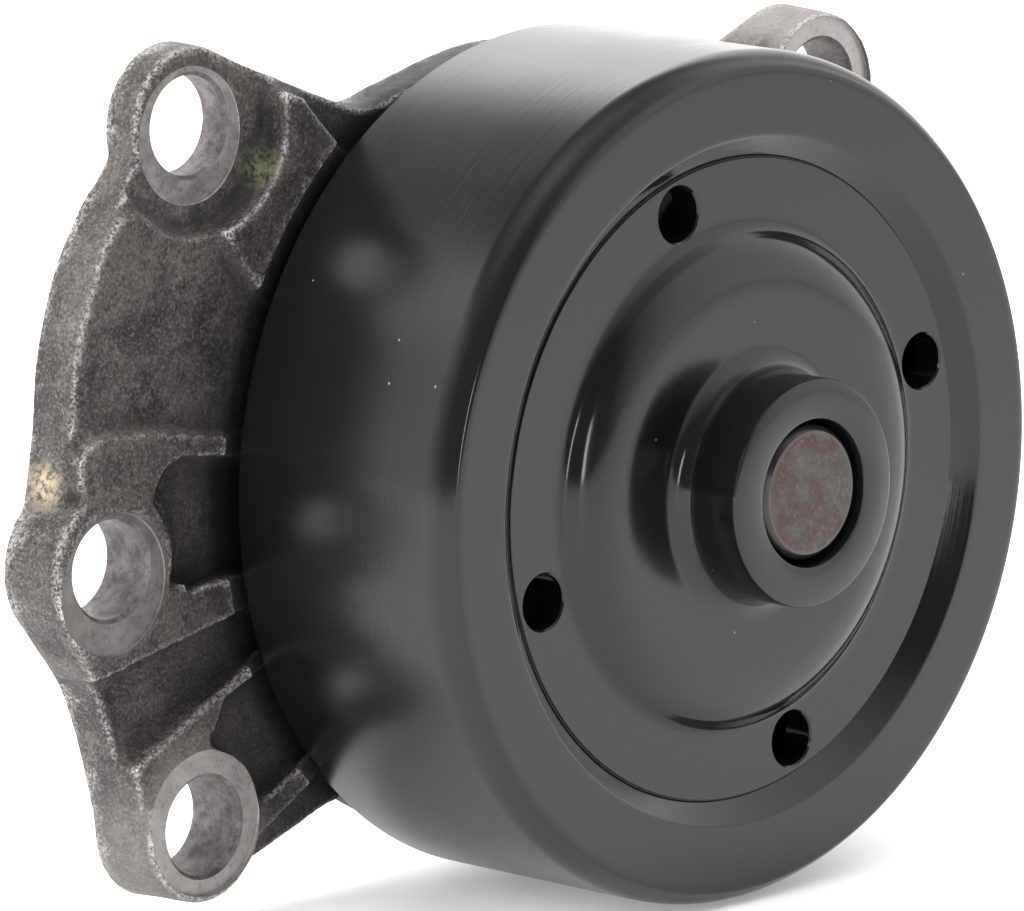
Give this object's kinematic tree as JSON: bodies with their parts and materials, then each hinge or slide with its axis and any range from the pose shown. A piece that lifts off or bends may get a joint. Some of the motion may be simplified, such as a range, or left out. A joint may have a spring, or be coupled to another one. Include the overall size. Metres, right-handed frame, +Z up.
{
  "type": "water pump",
  "caption": "Belt-driven engine water pump: flat black pulley on a sealed shaft bearing, cast aluminium lugged housing, face seal and open rear impeller.",
  "frame": {"origin": "on the shaft axis, in the plane of the mounting face that meets the engine", "axes": "+Y along the shaft into the engine, so the pulley faces -Y; +Z up; +X to the right seen from the pulley side"},
  "size_m": [0.1215, 0.0615, 0.0802],
  "materials": {
    "cast_aluminium": "die-cast, rough matt skin with dark pores; machined bolt seats",
    "black_coat": "glossy black electro-coat over turned steel",
    "ground_steel": "ground, light red-brown rust on the bare shaft end",
    "ball_steel": "polished bearing steel",
    "cage_polyamide": "moulded brown polyamide",
    "black_rubber": "moulded black rubber",
    "spring_steel": "drawn stainless wire",
    "seat_brass": "drawn brass, slightly dull",
    "carbon": "lapped carbon graphite",
    "ceramic": "lapped dark ceramic",
    "pressed_steel": "pressed stainless sheet"
  },
  "bodies": {
    "stator": {"housing": "cast_aluminium", "bearing_outer_ring": "ground_steel", "bearing_seal_front": "black_rubber", "bearing_seal_rear": "black_rubber", "seal_cup": "seat_brass", "seal_bellows": "black_rubber", "seal_spring": "spring_steel", "seal_drive_collar": "pressed_steel", "seal_carbon_ring": "carbon"},
    "rotor": {"pulley": "black_coat", "bearing_shaft": "ground_steel", "slinger": "pressed_steel", "mating_ring": "ceramic", "mating_ring_boot": "black_rubber", "impeller": "pressed_steel"},
    "front_ball_row": {"ball_cage_front": "cage_polyamide", "front_ball_1": "ball_steel", "front_ball_2": "ball_steel", "front_ball_3": "ball_steel", "front_ball_4": "ball_steel", "front_ball_5": "ball_steel", "front_ball_6": "ball_steel", "front_ball_7": "ball_steel", "front_ball_8": "ball_steel"},
    "rear_ball_row": {"ball_cage_rear": "cage_polyamide", "rear_ball_1": "ball_steel", "rear_ball_2": "ball_steel", "rear_ball_3": "ball_steel", "rear_ball_4": "ball_steel", "rear_ball_5": "ball_steel", "rear_ball_6": "ball_steel", "rear_ball_7": "ball_steel", "rear_ball_8": "ball_steel"}
  },
  "joints": [
    {"name": "shaft_spin", "type": "hinge", "parent": "stator", "child": "rotor", "pos_m": [0, -0.02, 0], "axis": [0, 1, 0], "continuous": true},
    {"name": "front_row_orbit", "type": "hinge", "parent": "stator", "child": "front_ball_row", "pos_m": [0, -0.0224, 0], "axis": [0, 1, 0], "continuous": true},
    {"name": "rear_row_orbit", "type": "hinge", "parent": "stator", "child": "rear_ball_row", "pos_m": [0, -0.0096, 0], "axis": [0, 1, 0], "continuous": true}
  ],
  "couplings": [
    {"joint": "front_row_orbit", "follows": "shaft_spin", "ratio": 0.359},
    {"joint": "rear_row_orbit", "follows": "shaft_spin", "ratio": 0.359}
  ]
}
